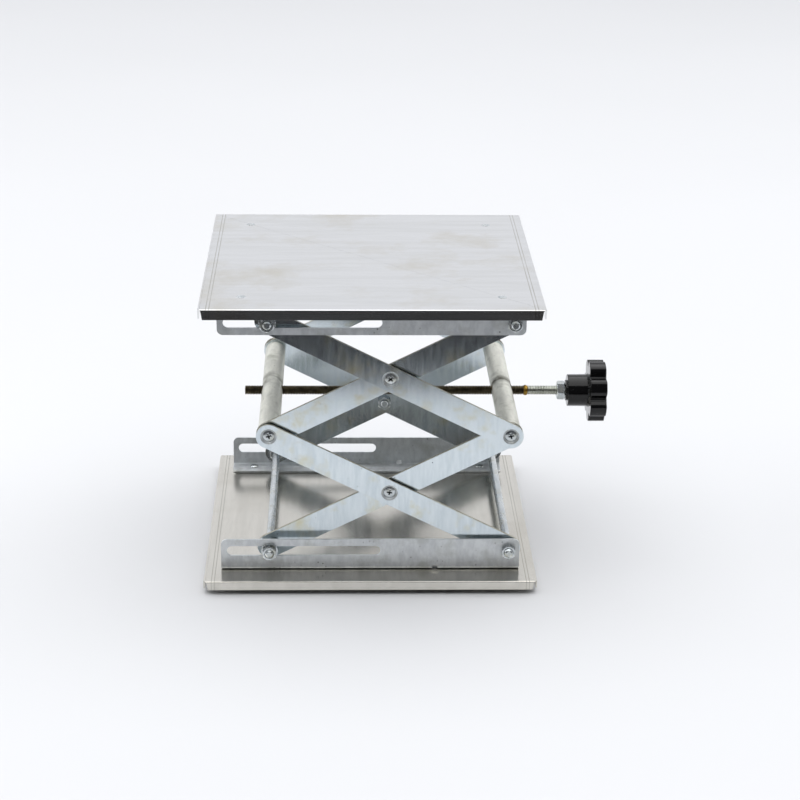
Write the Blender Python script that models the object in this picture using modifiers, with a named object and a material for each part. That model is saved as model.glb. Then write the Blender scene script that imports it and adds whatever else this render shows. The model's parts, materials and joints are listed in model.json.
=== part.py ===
"""Scissor lab jack: two folded plates, slotted rails, eight arms and a turnbuckle screw.

Metres, +Z up. The origin is on the bench, under the middle of the base plate, which stands on
four pads. X runs along the lead screw towards the knob, Y along the pins. The pose modelled is
about half raised.
"""

import math

import bmesh
import bpy
from mathutils import Matrix, Vector

# Driving dimensions, in metres and degrees.
PLATE_SIZE = 0.2000
PLATE_SHEET = 0.0010
FOOT_STAND = 0.0030
FOOT_RADIUS = 0.0060
BASE_LIP_DEPTH = 0.00535
TOP_LIP_DEPTH = 0.0062
CORNER_SLIT = 0.0016
PLATE_EDGE_RADIUS = 0.0007

RAIL_SHEET = 0.0012
RAIL_HEIGHT = 0.0200
RAIL_FOOT_WIDTH = 0.0150
RAIL_CORNER_RADIUS = 0.0035
RAIL_FACE_INSET = 0.0170
RAIL_END_INSET = 0.0100
PIN_HEIGHT = 0.0126
FIXED_PIN_INSET = 0.0067
SLOT_END_INSET = 0.0035
SLOT_LENGTH = 0.0926
SLOT_PLAY = 0.0012
SLOT_SPARE = 0.0054

LOW_ANGLE = 8.10
REST_ANGLE = 26.69
HIGH_ANGLE = 55.37
ARM_WIDTH = 0.0150
ARM_SHEET = 0.0020
ARM_TO_RAIL = 0.0025
ARM_GAP = 0.0012

AXLE_RADIUS = 0.0025
AXLE_NUT_FLATS = 0.0080
AXLE_NUT_HEIGHT = 0.0032
AXLE_END = 0.0010
WASHER_RADIUS = 0.0051
WASHER_THICKNESS = 0.0010
SPACER_WALL = 0.0012

SCREW_RADIUS = 0.0024
SCREW_HEAD_RADIUS = 0.0040
SCREW_HEAD_DEPTH = 0.0014
DIMPLE_RADIUS = 0.0048
BOSS_WALL = 0.0011
CENTRE_NUT_FLATS = 0.0080
CENTRE_NUT_HEIGHT = 0.0030
SCREW_GRIP_IN_BAR = 0.0120

BAR_RADIUS = 0.0065
BAR_SCREW_BORE_PLAY = 0.0007
LEAD_RADIUS = 0.0029
LEAD_LEFT_REACH = 0.0170
BEAD_OFFSET = 0.0073
BEAD_WALL = 0.00035
BEAD_PLAY = 0.0001
BEAD_LENGTH = 0.0023
STUD_BARE_LENGTH = 0.0186
KNOB_GRIP = 0.0150
LOCK_NUT_FLATS = 0.0104
LOCK_NUT_HEIGHT = 0.0050

KNOB_NECK_RADIUS = 0.0065
KNOB_NECK_LENGTH = 0.0012
KNOB_HUB_RADIUS = 0.0100
KNOB_HUB_LENGTH = 0.0132
KNOB_STAR_RADIUS = 0.0195
KNOB_STAR_LENGTH = 0.0105
KNOB_LOBES = 7
KNOB_NOTCH_DEPTH = 0.0042
KNOB_LOBE_ANGLE = 37.7

RIVET_INSET_X = 0.0240
RIVET_SHANK_RADIUS = 0.0018
RIVET_HEAD_RADIUS = 0.0027
RIVET_HEAD_HEIGHT = 0.0009

GAP = 0.0003
ROUND = 16

# Places that follow from the driving dimensions.
HALF_PLATE = PLATE_SIZE / 2
BASE_HEIGHT = FOOT_STAND + BASE_LIP_DEPTH
RAIL_FACE = HALF_PLATE - RAIL_FACE_INSET
RAIL_INNER = RAIL_FACE - RAIL_SHEET
HALF_RAIL = HALF_PLATE - RAIL_END_INSET
SLOT_RADIUS = AXLE_RADIUS + SLOT_PLAY / 2
SLOT_LEFT = -HALF_RAIL + SLOT_END_INSET + SLOT_RADIUS
SLOT_RIGHT = SLOT_LEFT + SLOT_LENGTH - 2 * SLOT_RADIUS
FIXED_X = HALF_RAIL - FIXED_PIN_INSET
ARM_PITCH = FIXED_X - SLOT_LEFT - SLOT_SPARE
TILT = math.radians(REST_ANGLE)
SLIDE_X = FIXED_X - ARM_PITCH * math.cos(TILT)
CENTRE_X = (FIXED_X + SLIDE_X) / 2
RISE = ARM_PITCH * math.sin(TILT)
LOW_Z = BASE_HEIGHT + PIN_HEIGHT
MID_Z = LOW_Z + RISE
HIGH_Z = MID_Z + RISE
TOP_UNDERSIDE = HIGH_Z + PIN_HEIGHT
TOP_FACE = TOP_UNDERSIDE + PLATE_SHEET
OUTER_ARM_Y = RAIL_INNER - ARM_TO_RAIL - ARM_SHEET / 2
INNER_ARM_Y = OUTER_ARM_Y - ARM_SHEET - ARM_GAP
INNER_ARM_BACK = INNER_ARM_Y - ARM_SHEET / 2
BAR_HALF_LENGTH = INNER_ARM_BACK - GAP
AXLE_HOLE_RADIUS = AXLE_RADIUS + GAP
SCREW_HOLE_RADIUS = SCREW_RADIUS + GAP
LEAD_BORE_RADIUS = LEAD_RADIUS + GAP
LEAD_LEFT = SLIDE_X - LEAD_LEFT_REACH
BEAD_RADIUS = LEAD_RADIUS + BEAD_PLAY + BEAD_WALL
BEAD_START = FIXED_X + BAR_RADIUS + BEAD_OFFSET
LOCK_NUT_START = BEAD_START + BEAD_LENGTH + STUD_BARE_LENGTH
KNOB_START = LOCK_NUT_START + LOCK_NUT_HEIGHT + GAP
STAR_START = KNOB_START + KNOB_NECK_LENGTH + KNOB_HUB_LENGTH
LEAD_RIGHT = KNOB_START + KNOB_GRIP
# The screw's mean travel along X for each radian that the arms rise, and its travel to the bottom.
FOLD = math.radians(HIGH_ANGLE - LOW_ANGLE)
SPREAD = math.cos(math.radians(LOW_ANGLE)) - math.cos(math.radians(HIGH_ANGLE))
TRAVEL_PER_RADIAN = ARM_PITCH / 2 * SPREAD / FOLD
TRAVEL_DOWN = TRAVEL_PER_RADIAN * math.radians(REST_ANGLE - LOW_ANGLE)
RECESS_DEPTH = max(TRAVEL_DOWN - BEAD_OFFSET, 0.0) + GAP
RIVET_X = HALF_PLATE - RIVET_INSET_X
RIVET_Y = RAIL_FACE - RAIL_FOOT_WIDTH / 2
SIDES = (("front", -1), ("back", 1))

# Colour, roughness and metallic value of each material.
FINISHES = {
    "brushed_steel": ((0.66, 0.65, 0.63), 0.32, 1.0),
    "galvanised_steel": ((0.42, 0.44, 0.45), 0.45, 1.0),
    "zinc_plate": ((0.60, 0.66, 0.70), 0.30, 1.0),
    "bright_zinc": ((0.72, 0.73, 0.72), 0.25, 1.0),
    "dull_bar": ((0.55, 0.55, 0.50), 0.50, 1.0),
    "black_thread": ((0.07, 0.06, 0.045), 0.55, 0.8),
    "braze": ((0.45, 0.31, 0.08), 0.45, 1.0),
    "black_rubber": ((0.02, 0.02, 0.02), 0.70, 0.0),
    "black_resin": ((0.012, 0.012, 0.013), 0.15, 0.0),
}


def clear_scene():
    for item in list(bpy.data.objects):
        bpy.data.objects.remove(item, do_unlink=True)


def make_collection(name):
    collection = bpy.data.collections.new(name)
    bpy.context.scene.collection.children.link(collection)
    return collection


def make_material(name):
    colour, roughness, metallic = FINISHES[name]
    material = bpy.data.materials.new(name)
    material.use_nodes = True
    shader = material.node_tree.nodes["Principled BSDF"]
    shader.inputs["Base Color"].default_value = (*colour, 1.0)
    shader.inputs["Roughness"].default_value = roughness
    shader.inputs["Metallic"].default_value = metallic
    return material


def circle_points(radius, count=ROUND, centre=(0.0, 0.0), phase=0.0):
    """Points of a regular polygon round a centre."""
    angles = [phase + 2 * math.pi * step / count for step in range(count)]
    return [(centre[0] + radius * math.cos(a), centre[1] + radius * math.sin(a)) for a in angles]


def arc_points(centre, radius, start, end, steps):
    """Points along an arc, with angles in degrees."""
    angles = [math.radians(start + (end - start) * step / steps) for step in range(steps + 1)]
    return [(centre[0] + radius * math.cos(a), centre[1] + radius * math.sin(a)) for a in angles]


def stadium_points(first, last, radius, height=0.0):
    """A straight slot or bar with round ends, between two centres on one line."""
    right = arc_points((last, height), radius, -90, 90, ROUND // 2)
    left = arc_points((first, height), radius, 90, 270, ROUND // 2)
    return right + left


def rounded_box_points(left, right, low, high, radius):
    """A rectangle whose two upper corners are round."""
    corners = arc_points((right - radius, high - radius), radius, 0, 90, 6)
    corners += arc_points((left + radius, high - radius), radius, 90, 180, 6)
    return [(right, low)] + corners + [(left, low)]


def star_points(radius, depth, lobes):
    """A lobed outline: wide round lobes with a scooped notch between each pair."""
    points = []
    for step in range(lobes * 10):
        angle = 2 * math.pi * step / (lobes * 10)
        scoop = (0.5 - 0.5 * math.cos(lobes * angle)) ** 3
        reach = radius - depth * scoop
        points.append((reach * math.cos(angle), reach * math.sin(angle)))
    return points


def link(name, mesh, collection, material):
    item = bpy.data.objects.new(name, mesh)
    collection.objects.link(item)
    if material:
        mesh.materials.append(material)
    return item


def smooth_round_faces(mesh):
    mesh.shade_smooth()
    mesh.set_sharp_from_angle(angle=math.radians(35))


def plain_mesh(source, collection, material):
    """Turn a curve or a modified object into a welded mesh object of the same name."""
    depsgraph = bpy.context.evaluated_depsgraph_get()
    mesh = bpy.data.meshes.new_from_object(source.evaluated_get(depsgraph))
    name, matrix = source.name, source.matrix_world.copy()
    bpy.data.objects.remove(source, do_unlink=True)
    shape = bmesh.new()
    shape.from_mesh(mesh)
    bmesh.ops.remove_doubles(shape, verts=shape.verts, dist=1e-6)
    bmesh.ops.recalc_face_normals(shape, faces=shape.faces)
    shape.to_mesh(mesh)
    shape.free()
    mesh.materials.clear()
    smooth_round_faces(mesh)
    result = link(name, mesh, collection, material)
    result.name = name
    result.matrix_world = matrix
    return result


def prism(name, loops, thickness, collection, material=None, along="Y"):
    """Extrude a flat outline with its holes, centred on its own plane.

    along Y: the outline's x and y become X and Z. along X: they become Y and Z.
    """
    curve = bpy.data.curves.new(name, "CURVE")
    curve.dimensions = "2D"
    curve.fill_mode = "BOTH"
    curve.extrude = thickness / 2
    for loop in loops:
        spline = curve.splines.new("POLY")
        spline.points.add(len(loop) - 1)
        for point, (x, y) in zip(spline.points, loop):
            point.co = (x, y, 0.0, 1.0)
        spline.use_cyclic_u = True
    source = bpy.data.objects.new(name, curve)
    collection.objects.link(source)
    item = plain_mesh(source, collection, material)
    turn = Matrix.Rotation(math.pi / 2, 4, "X")
    if along == "X":
        turn = Matrix.Rotation(math.pi / 2, 4, "Z") @ turn
    item.data.transform(turn)
    return item


def turned(name, profile, collection, material=None, along="Y"):
    """Spin a profile of (radius, height) pairs, top to bottom, about its axis."""
    mesh = bpy.data.meshes.new(name)
    shape = bmesh.new()
    verts = [shape.verts.new((radius, 0.0, height)) for radius, height in profile]
    for first, second in zip(verts, verts[1:]):
        shape.edges.new((first, second))
    shape.to_mesh(mesh)
    shape.free()
    source = bpy.data.objects.new(name, mesh)
    collection.objects.link(source)
    screw = source.modifiers.new("turn", "SCREW")
    screw.axis = "Z"
    screw.steps = ROUND
    screw.render_steps = ROUND
    screw.use_merge_vertices = True
    screw.merge_threshold = 1e-5
    item = plain_mesh(source, collection, material)
    if along == "Y":
        item.data.transform(Matrix.Rotation(-math.pi / 2, 4, "X"))
    if along == "X":
        item.data.transform(Matrix.Rotation(math.pi / 2, 4, "Y"))
    return item


def rod(name, radius, length, collection, material=None, along="Y"):
    profile = [(0.0, length / 2), (radius, length / 2), (radius, -length / 2), (0.0, -length / 2)]
    return turned(name, profile, collection, material, along)


def box(name, low, high, collection, material=None):
    mesh = bpy.data.meshes.new(name)
    shape = bmesh.new()
    bmesh.ops.create_cube(shape, size=1.0)
    low, high = Vector(low), Vector(high)
    bmesh.ops.scale(shape, vec=high - low, verts=shape.verts)
    bmesh.ops.translate(shape, vec=(high + low) / 2, verts=shape.verts)
    shape.to_mesh(mesh)
    shape.free()
    return link(name, mesh, collection, material)


def combine(item, tool, operation):
    """Apply one Boolean and remove the tool."""
    modifier = item.modifiers.new(operation.lower(), "BOOLEAN")
    modifier.operation = operation
    modifier.object = tool
    material = item.data.materials[0] if item.data.materials else None
    collection = item.users_collection[0]
    result = plain_mesh(item, collection, material)
    bpy.data.objects.remove(tool, do_unlink=True)
    return result


def moved(item, location, tilt=0.0):
    """Place a piece, turned about Y by a tilt in radians."""
    item.location = location
    item.rotation_euler = (0.0, tilt, 0.0)
    return item


def build_plate(name, top, lip_depth, up, parts, cutters, material):
    """A square sheet with its four edges folded down, open at the corners.

    up is 1 where the rails stand on its top face, and -1 where they hang under it.
    """
    half = HALF_PLATE
    plate = box(name, (-half, -half, top - lip_depth), (half, half, top), parts, material)
    bevel = plate.modifiers.new("folds", "BEVEL")
    bevel.width = PLATE_EDGE_RADIUS
    bevel.segments = 2
    bevel.limit_method = "WEIGHT"
    weights = plate.data.attributes.new("bevel_weight_edge", "FLOAT", "EDGE")
    for edge in plate.data.edges:
        ends = [plate.data.vertices[index].co.z for index in edge.vertices]
        weights.data[edge.index].value = 1.0 if min(ends) > top - PLATE_SHEET else 0.0
    plate = plain_mesh(plate, parts, material)
    inner = half - PLATE_SHEET
    floor = top - lip_depth - PLATE_SHEET
    hollow = box("hollow", (-inner, -inner, floor), (inner, inner, top - PLATE_SHEET), cutters)
    plate = combine(plate, hollow, "DIFFERENCE")
    for x in (-half, half):
        for y in (-half, half):
            reach = CORNER_SLIT
            slit = box(
                "slit",
                (x - reach, y - reach, floor),
                (x + reach, y + reach, top - PLATE_SHEET - GAP),
                cutters,
            )
            plate = combine(plate, slit, "DIFFERENCE")
    for x in (-RIVET_X, RIVET_X):
        for y in (-RIVET_Y, RIVET_Y):
            hole = turned("hole", rivet_hole_profile(), cutters, along="Z")
            rail_side = top if up > 0 else top - PLATE_SHEET
            hole.matrix_world = rivet_place(x, y, rail_side, up)
            bpy.context.view_layer.update()
            plate = combine(plate, hole, "DIFFERENCE")
    return plate


def build_rail(name, side, base, up, parts, cutters, material):
    """An L-section rail: slot on the left, fixed pin hole on the right, foot turned inwards.

    base is the height of the plate face that it is riveted to, and up is 1 or -1.
    """
    outer, inner = side * RAIL_FACE, side * RAIL_INNER
    toe = side * (RAIL_FACE - RAIL_FOOT_WIDTH)
    start = GAP
    section = [
        (outer, start),
        (toe, start),
        (toe, start + RAIL_SHEET),
        (inner, start + RAIL_SHEET),
        (inner, RAIL_HEIGHT + RAIL_SHEET),
        (outer, RAIL_HEIGHT + RAIL_SHEET),
    ]
    section = [(y, base + up * z) for y, z in section]
    rail = prism(name, [section], PLATE_SIZE, parts, material, along="X")
    face = rounded_box_points(-HALF_RAIL, HALF_RAIL, -RAIL_SHEET, RAIL_HEIGHT, RAIL_CORNER_RADIUS)
    slot = stadium_points(SLOT_LEFT, SLOT_RIGHT, SLOT_RADIUS, PIN_HEIGHT)
    hole = circle_points(AXLE_HOLE_RADIUS, centre=(FIXED_X, PIN_HEIGHT))
    loops = [[(x, base + up * z) for x, z in loop] for loop in (face, slot, hole)]
    blank = prism("face", loops, 2 * RAIL_FOOT_WIDTH + 2 * RAIL_SHEET, cutters)
    blank.location.y = outer
    bpy.context.view_layer.update()
    rail = combine(rail, blank, "INTERSECT")
    for x in (-RIVET_X, RIVET_X):
        bore = rod("bore", RIVET_SHANK_RADIUS + GAP, 4 * RAIL_SHEET, cutters, along="Z")
        bore.location = (x, side * RIVET_Y, base + up * RAIL_SHEET)
        bpy.context.view_layer.update()
        rail = combine(rail, bore, "DIFFERENCE")
    return rail


def flat_arm(name, first_hole, radii, parts, material):
    """A flat bar with round ends and three holes; a radius of None leaves a hole out."""
    places = [first_hole, first_hole + ARM_PITCH / 2, first_hole + ARM_PITCH]
    loops = [stadium_points(places[0], places[2], ARM_WIDTH / 2)]
    for place, radius in zip(places, radii):
        if radius:
            loops.append(circle_points(radius, centre=(place, 0.0)))
    return prism(name, loops, ARM_SHEET, parts, material)


def dimpled_arm(name, first_hole, side, pivot_ends, parts, cutters, material):
    """An outer arm: an axle hole at one end, and two dimples pressed inwards for screws."""
    places = [first_hole, first_hole + ARM_PITCH / 2, first_hole + ARM_PITCH]
    radii = [AXLE_HOLE_RADIUS if not pivot else None for pivot in pivot_ends]
    arm = flat_arm(name, first_hole, radii, parts, material)
    face = side * ARM_SHEET / 2
    boss_height = ARM_SHEET / 2 + ARM_GAP - GAP
    hole = SCREW_HOLE_RADIUS
    head_radius = SCREW_HEAD_RADIUS + GAP
    for place, pivot in zip(places, pivot_ends):
        if not pivot:
            continue
        boss_profile = [
            (0.0, 0.0),
            (hole + 2 * BOSS_WALL, 0.0),
            (hole + BOSS_WALL, -boss_height),
            (0.0, -boss_height),
        ]
        boss = turned("boss", boss_profile, cutters, along="Y")
        boss.matrix_world = outward(place, side)
        bpy.context.view_layer.update()
        arm = combine(arm, boss, "UNION")
        seat = -SCREW_HEAD_DEPTH - GAP
        dimple_profile = [
            (0.0, ARM_SHEET),
            (DIMPLE_RADIUS + ARM_SHEET, ARM_SHEET),
            (DIMPLE_RADIUS, 0.0),
            (head_radius, -SCREW_HEAD_DEPTH / 4),
            (hole, seat - GAP),
            (hole, -2 * ARM_SHEET - ARM_GAP),
            (0.0, -2 * ARM_SHEET - ARM_GAP),
        ]
        dimple = turned("dimple", dimple_profile, cutters, along="Y")
        dimple.matrix_world = Matrix.Translation((0.0, face, 0.0)) @ outward(place, side)
        bpy.context.view_layer.update()
        arm = combine(arm, dimple, "DIFFERENCE")
    return arm


def outward(x, side):
    """Face a turned piece, whose top is +Y, away from the middle plane."""
    turn = Matrix.Identity(4) if side > 0 else Matrix.Rotation(math.pi, 4, "Z")
    return Matrix.Translation((x, 0.0, 0.0)) @ turn


def hex_nut(name, flats, bore, height, parts, material, along="Y", phase=30.0):
    corner = flats / 2 / math.cos(math.pi / 6)
    loops = [circle_points(corner, 6, phase=math.radians(phase)), circle_points(bore)]
    return prism(name, loops, height, parts, material, along)


def ring(name, radius, bore, height, parts, material, along="Y"):
    return prism(name, [circle_points(radius), circle_points(bore)], height, parts, material, along)


def countersunk_screw(name, length, parts, material):
    """A countersunk screw, its head's top at 0 and its shank running inwards."""
    profile = [
        (0.0, 0.0),
        (SCREW_HEAD_RADIUS, 0.0),
        (SCREW_RADIUS, -SCREW_HEAD_DEPTH),
        (SCREW_RADIUS, -length),
        (0.0, -length),
    ]
    return turned(name, profile, parts, material, along="Y")


def build_cross_bar(name, x, recess, parts, cutters, material):
    """A solid cross bar, drilled across for the lead screw and tapped in both ends.

    recess is the depth of a wider bore on the knob's side, which clears the brazed bead.
    """
    bar = rod(name, BAR_RADIUS, 2 * BAR_HALF_LENGTH, parts, material)
    bore = rod("bore", LEAD_BORE_RADIUS, 4 * BAR_RADIUS, cutters, along="X")
    bar = combine(bar, bore, "DIFFERENCE")
    if recess:
        length = recess + BAR_RADIUS
        pocket = rod("pocket", BEAD_RADIUS + GAP, length, cutters, along="X")
        pocket.location.x = BAR_RADIUS - recess + length / 2
        bpy.context.view_layer.update()
        bar = combine(bar, pocket, "DIFFERENCE")
    depth = SCREW_GRIP_IN_BAR + BAR_SCREW_BORE_PLAY
    for _, side in SIDES:
        tapping = rod("tapping", SCREW_HOLE_RADIUS, 2 * depth, cutters)
        tapping.location.y = side * BAR_HALF_LENGTH
        bpy.context.view_layer.update()
        bar = combine(bar, tapping, "DIFFERENCE")
    return moved(bar, (x, 0.0, MID_Z))


def build_knob(parts, cutters, material):
    """A seven-lobed star knob with a round hub, a short neck and a blind bore."""
    star = prism(
        "knob",
        [star_points(KNOB_STAR_RADIUS, KNOB_NOTCH_DEPTH, KNOB_LOBES)],
        KNOB_STAR_LENGTH,
        parts,
        material,
        along="X",
    )
    star.data.transform(Matrix.Translation((KNOB_STAR_LENGTH / 2, 0.0, 0.0)))
    sink = KNOB_STAR_LENGTH / 2
    profile = [
        (0.0, sink),
        (KNOB_HUB_RADIUS, sink),
        (KNOB_HUB_RADIUS, -KNOB_HUB_LENGTH),
        (KNOB_NECK_RADIUS, -KNOB_HUB_LENGTH),
        (KNOB_NECK_RADIUS, -KNOB_HUB_LENGTH - KNOB_NECK_LENGTH),
        (0.0, -KNOB_HUB_LENGTH - KNOB_NECK_LENGTH),
    ]
    hub = turned("hub", profile, cutters, along="X")
    knob = combine(star, hub, "UNION")
    depth = LEAD_RIGHT + GAP - STAR_START
    reach = KNOB_HUB_LENGTH + 2 * KNOB_NECK_LENGTH
    bore = rod("bore", LEAD_RADIUS + GAP, depth + reach, cutters, along="X")
    bore.location.x = (depth - reach) / 2
    bpy.context.view_layer.update()
    knob = combine(knob, bore, "DIFFERENCE")
    lobe = math.radians(180 - KNOB_LOBE_ANGLE)
    knob.data.transform(Matrix.Rotation(lobe, 4, "X"))
    knob.location = (STAR_START, 0.0, MID_Z)
    return knob


def rivet_hole_profile():
    """The countersunk hole through a plate, from the rail's side to the outer face and past it."""
    shank, head = RIVET_SHANK_RADIUS + GAP, RIVET_HEAD_RADIUS + GAP
    return [
        (0.0, PLATE_SHEET),
        (shank, PLATE_SHEET),
        (shank, -PLATE_SHEET / 4),
        (head, -PLATE_SHEET),
        (head, -2 * PLATE_SHEET),
        (0.0, -2 * PLATE_SHEET),
    ]


def rivet_place(x, y, face, up):
    turn = Matrix.Identity(4) if up > 0 else Matrix.Rotation(math.pi, 4, "X")
    return Matrix.Translation((x, y, face)) @ turn


def build_rivet(name, x, y, face, up, parts, material):
    """A rivet through a rail's foot and a plate: domed on the foot, flush with the outer face."""
    foot_top = GAP + RAIL_SHEET + GAP
    profile = [
        (0.0, foot_top + RIVET_HEAD_HEIGHT),
        (0.6 * RIVET_HEAD_RADIUS, foot_top + 0.8 * RIVET_HEAD_HEIGHT),
        (RIVET_HEAD_RADIUS, foot_top),
        (RIVET_SHANK_RADIUS, foot_top),
        (RIVET_SHANK_RADIUS, -PLATE_SHEET / 4),
        (RIVET_HEAD_RADIUS, -PLATE_SHEET),
        (0.0, -PLATE_SHEET),
    ]
    rivet = turned(name, profile, parts, material, along="Z")
    rivet.matrix_world = rivet_place(x, y, face, up)
    return rivet


def build_foot(name, x, y, parts, material):
    """A foot pad with its rivet, in one piece: pad, shank through plate and rail, domed head."""
    foot_top = GAP + RAIL_SHEET + GAP
    pad_top = -PLATE_SHEET - GAP
    profile = [
        (0.0, foot_top + RIVET_HEAD_HEIGHT),
        (0.6 * RIVET_HEAD_RADIUS, foot_top + 0.8 * RIVET_HEAD_HEIGHT),
        (RIVET_HEAD_RADIUS, foot_top),
        (RIVET_SHANK_RADIUS, foot_top),
        (RIVET_SHANK_RADIUS, pad_top),
        (FOOT_RADIUS, pad_top),
        (FOOT_RADIUS, -BASE_HEIGHT),
        (0.0, -BASE_HEIGHT),
    ]
    foot = turned(name, profile, parts, material, along="Z")
    return moved(foot, (x, y, BASE_HEIGHT))


def joint_axis(name, location, parts):
    """An empty on a joint's axis, to carry what moves about it."""
    axis = bpy.data.objects.new(name, None)
    parts.objects.link(axis)
    axis.location = location
    axis.empty_display_size = 0.01
    return axis


def carry(axis, items):
    bpy.context.view_layer.update()
    for item in items:
        item.parent = axis
        item.matrix_parent_inverse = axis.matrix_world.inverted()


def build_axle(name, x, z, sliding, spaced, parts, finishes):
    """An axle across the jack with a nut at each end, and washers or spacers where it has them."""
    bright = finishes["bright_zinc"]
    washer_room = WASHER_THICKNESS + GAP if sliding else 0.0
    nut_start = RAIL_FACE + GAP + washer_room
    tip = RAIL_FACE + WASHER_THICKNESS + AXLE_NUT_HEIGHT + 2 * GAP + AXLE_END
    axle = moved(rod(name + "_axle", AXLE_RADIUS, 2 * tip, parts, bright), (x, 0.0, z))
    items = [axle]
    for place, side in SIDES:
        centre = side * (nut_start + AXLE_NUT_HEIGHT / 2)
        bore = AXLE_RADIUS + GAP
        nut_name = f"{name}_nut_{place}"
        nut = hex_nut(nut_name, AXLE_NUT_FLATS, bore, AXLE_NUT_HEIGHT, parts, bright)
        items.append(moved(nut, (x, centre, z)))
        if sliding:
            washer_y = side * (RAIL_FACE + GAP + WASHER_THICKNESS / 2)
            washer_name = f"{name}_washer_{place}"
            washer = ring(washer_name, WASHER_RADIUS, bore, WASHER_THICKNESS, parts, bright)
            items.append(moved(washer, (x, washer_y, z)))
        if spaced:
            near = INNER_ARM_Y + ARM_SHEET / 2 + GAP
            length = RAIL_INNER - GAP - near
            spacer_name = f"{name}_spacer_{place}"
            spacer = ring(spacer_name, bore + SPACER_WALL, bore, length, parts, bright)
            items.append(moved(spacer, (x, side * (near + length / 2), z)))
    return items


def build_screw_train(parts, cutters, finishes):
    """The turnbuckle screw with its brazed-on stud, the bead, the lock nut and the knob."""
    length = LEAD_RIGHT - LEAD_LEFT
    lead = rod("lead_screw", LEAD_RADIUS, length, parts, finishes["black_thread"], along="X")
    lead.location = ((LEAD_LEFT + LEAD_RIGHT) / 2, 0.0, MID_Z)
    bore = LEAD_RADIUS + BEAD_PLAY
    bead = ring("braze_bead", BEAD_RADIUS, bore, BEAD_LENGTH, parts, finishes["braze"], "X")
    bead.location = (BEAD_START + BEAD_LENGTH / 2, 0.0, MID_Z)
    bright = finishes["bright_zinc"]
    bore = LEAD_RADIUS + GAP
    nut = hex_nut("lock_nut", LOCK_NUT_FLATS, bore, LOCK_NUT_HEIGHT, parts, bright, "X")
    nut.location = (LOCK_NUT_START + LOCK_NUT_HEIGHT / 2, 0.0, MID_Z)
    knob = build_knob(parts, cutters, finishes["black_resin"])
    return bead, [lead, nut, knob]


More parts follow.
